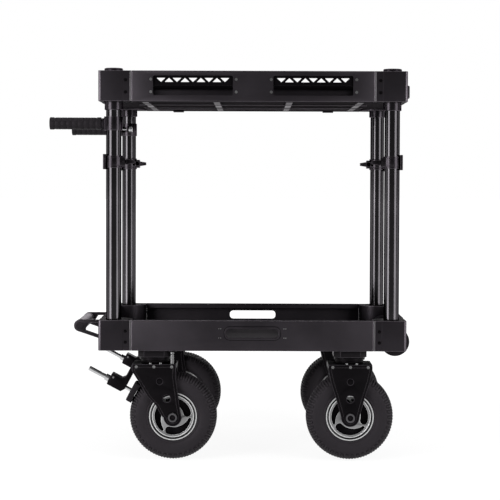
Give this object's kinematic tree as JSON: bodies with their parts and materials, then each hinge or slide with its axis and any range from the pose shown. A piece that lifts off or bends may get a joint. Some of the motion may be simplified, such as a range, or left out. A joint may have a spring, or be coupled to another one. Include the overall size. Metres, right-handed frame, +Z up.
{
  "type": "camera cart",
  "caption": "Tall two-tray equipment cart on round posts, with push handles at one end, braked swivel wheels under it and rigid wheels under the other end.",
  "frame": {"origin": "on the floor, below the middle of the cart's bounding box", "axes": "+Z up, +X along the cart from the push handles to the end handle, -Y towards the side with the two windows"},
  "size_m": [1.0612, 0.6016, 1.1348],
  "materials": {
    "anodised": "black anodised, fine satin",
    "cast": "black powder coat, fine texture",
    "rubber": "matt black rubber",
    "tyre": "matt dark grey tyre rubber",
    "silver": "bright machined aluminium",
    "bright": "polished",
    "steel": "dark plated steel"
  },
  "bodies": {
    "frame": {"top_corner_front_left": "anodised", "lower_corner_front_left": "anodised", "post_front_left": "anodised", "top_corner_front_right": "anodised", "lower_corner_front_right": "anodised", "post_front_right": "anodised", "wheel_axle_front_right": "steel", "swivel_head_front": "cast", "rigid_fork_front": "cast", "top_rail_front": "anodised", "lower_rail_front": "anodised", "top_corner_back_left": "anodised", "lower_corner_back_left": "anodised", "post_back_left": "anodised", "top_corner_back_right": "anodised", "lower_corner_back_right": "anodised", "post_back_right": "anodised", "wheel_axle_back_right": "steel", "swivel_head_back": "cast", "rigid_fork_back": "cast", "top_rail_back": "anodised", "lower_rail_back": "anodised", "top_deck": "anodised", "lower_deck": "anodised", "window_lattice_left": "anodised", "window_lattice_right": "anodised", "lift_bar": "anodised", "end_handle": "cast"},
    "handle_front": {"handle_clamp_front": "cast", "handle_grip_front": "rubber"},
    "handle_screw_front": {"handle_screw_front": "bright"},
    "roller_front": {"loading_roller_front": "rubber"},
    "swivel_front": {"swivel_fork_front": "cast", "wheel_axle_front_left": "steel"},
    "lock_pin_front": {"lock_pin_front": "bright"},
    "brake_front": {"brake_plunger_front": "bright"},
    "clamp_front_left": {"shelf_clamp_front_left": "cast"},
    "lever_front_left": {"clamp_lever_front_left": "cast"},
    "wheel_front_left": {"wheel_rim_front_left": "silver", "tyre_front_left": "tyre"},
    "clamp_front_right": {"shelf_clamp_front_right": "cast"},
    "lever_front_right": {"clamp_lever_front_right": "cast"},
    "wheel_front_right": {"wheel_rim_front_right": "silver", "tyre_front_right": "tyre"},
    "handle_back": {"handle_clamp_back": "cast", "handle_grip_back": "rubber"},
    "handle_screw_back": {"handle_screw_back": "bright"},
    "roller_back": {"loading_roller_back": "rubber"},
    "swivel_back": {"swivel_fork_back": "cast", "wheel_axle_back_left": "steel"},
    "lock_pin_back": {"lock_pin_back": "bright"},
    "brake_back": {"brake_plunger_back": "bright"},
    "clamp_back_left": {"shelf_clamp_back_left": "cast"},
    "lever_back_left": {"clamp_lever_back_left": "cast"},
    "wheel_back_left": {"wheel_rim_back_left": "silver", "tyre_back_left": "tyre"},
    "clamp_back_right": {"shelf_clamp_back_right": "cast"},
    "lever_back_right": {"clamp_lever_back_right": "cast"},
    "wheel_back_right": {"wheel_rim_back_right": "silver", "tyre_back_right": "tyre"}
  },
  "joints": [
    {"name": "handle_slide_front", "type": "slide", "parent": "frame", "child": "handle_front", "axis": [0, 0, 1], "range_m": [-0.035, 0.017]},
    {"name": "handle_screw_turn_front", "type": "hinge", "parent": "handle_front", "child": "handle_screw_front", "pos_m": [-0.34603, -0.22005, 0.975], "axis": [1, 0, 0], "continuous": true},
    {"name": "roller_spin_front", "type": "hinge", "parent": "frame", "child": "roller_front", "pos_m": [0.47777, -0.1862, 0.3375], "axis": [0, 1, 0], "continuous": true},
    {"name": "swivel_turn_front", "type": "hinge", "parent": "frame", "child": "swivel_front", "pos_m": [-0.22622, -0.2415, 0.29], "axis": [0, 0, 1], "continuous": true},
    {"name": "lock_pin_slide_front", "type": "slide", "parent": "swivel_front", "child": "lock_pin_front", "axis": [0, 0, 1], "range_m": [0, 0.0038]},
    {"name": "brake_slide_front", "type": "slide", "parent": "swivel_front", "child": "brake_front", "axis": [0.8829, 0, -0.4695], "range_m": [-0.014, 0]},
    {"name": "clamp_slide_front_left", "type": "slide", "parent": "frame", "child": "clamp_front_left", "axis": [0, 0, 1], "range_m": [-0.42, 0.022]},
    {"name": "lever_turn_front_left", "type": "hinge", "parent": "clamp_front_left", "child": "lever_front_left", "pos_m": [-0.31741, -0.2329, 0.86475], "axis": [0, 1, 0], "range_deg": [-90, 90]},
    {"name": "wheel_spin_front_left", "type": "hinge", "parent": "swivel_front", "child": "wheel_front_left", "pos_m": [-0.17222, -0.2415, 0.127], "axis": [0, 1, 0], "continuous": true},
    {"name": "clamp_slide_front_right", "type": "slide", "parent": "frame", "child": "clamp_front_right", "axis": [0, 0, 1], "range_m": [-0.42, 0.115]},
    {"name": "lever_turn_front_right", "type": "hinge", "parent": "clamp_front_right", "child": "lever_front_right", "pos_m": [0.43195, -0.2329, 0.86475], "axis": [0, 1, 0], "range_deg": [-90, 90]},
    {"name": "wheel_spin_front_right", "type": "hinge", "parent": "frame", "child": "wheel_front_right", "pos_m": [0.34077, -0.2415, 0.127], "axis": [0, 1, 0], "continuous": true},
    {"name": "handle_slide_back", "type": "slide", "parent": "frame", "child": "handle_back", "axis": [0, 0, 1], "range_m": [-0.035, 0.017]},
    {"name": "handle_screw_turn_back", "type": "hinge", "parent": "handle_back", "child": "handle_screw_back", "pos_m": [-0.34603, 0.22005, 0.975], "axis": [1, 0, 0], "continuous": true},
    {"name": "roller_spin_back", "type": "hinge", "parent": "frame", "child": "roller_back", "pos_m": [0.47777, 0.1862, 0.3375], "axis": [0, 1, 0], "continuous": true},
    {"name": "swivel_turn_back", "type": "hinge", "parent": "frame", "child": "swivel_back", "pos_m": [-0.22622, 0.2415, 0.29], "axis": [0, 0, 1], "continuous": true},
    {"name": "lock_pin_slide_back", "type": "slide", "parent": "swivel_back", "child": "lock_pin_back", "axis": [0, 0, 1], "range_m": [0, 0.0038]},
    {"name": "brake_slide_back", "type": "slide", "parent": "swivel_back", "child": "brake_back", "axis": [0.8829, 0, -0.4695], "range_m": [-0.014, 0]},
    {"name": "clamp_slide_back_left", "type": "slide", "parent": "frame", "child": "clamp_back_left", "axis": [0, 0, 1], "range_m": [-0.42, 0.022]},
    {"name": "lever_turn_back_left", "type": "hinge", "parent": "clamp_back_left", "child": "lever_back_left", "pos_m": [-0.31741, 0.2329, 0.86475], "axis": [0, 1, 0], "range_deg": [-90, 90]},
    {"name": "wheel_spin_back_left", "type": "hinge", "parent": "swivel_back", "child": "wheel_back_left", "pos_m": [-0.17222, 0.2415, 0.127], "axis": [0, 1, 0], "continuous": true},
    {"name": "clamp_slide_back_right", "type": "slide", "parent": "frame", "child": "clamp_back_right", "axis": [0, 0, 1], "range_m": [-0.42, 0.115]},
    {"name": "lever_turn_back_right", "type": "hinge", "parent": "clamp_back_right", "child": "lever_back_right", "pos_m": [0.43195, 0.2329, 0.86475], "axis": [0, 1, 0], "range_deg": [-90, 90]},
    {"name": "wheel_spin_back_right", "type": "hinge", "parent": "frame", "child": "wheel_back_right", "pos_m": [0.34077, 0.2415, 0.127], "axis": [0, 1, 0], "continuous": true}
  ]
}
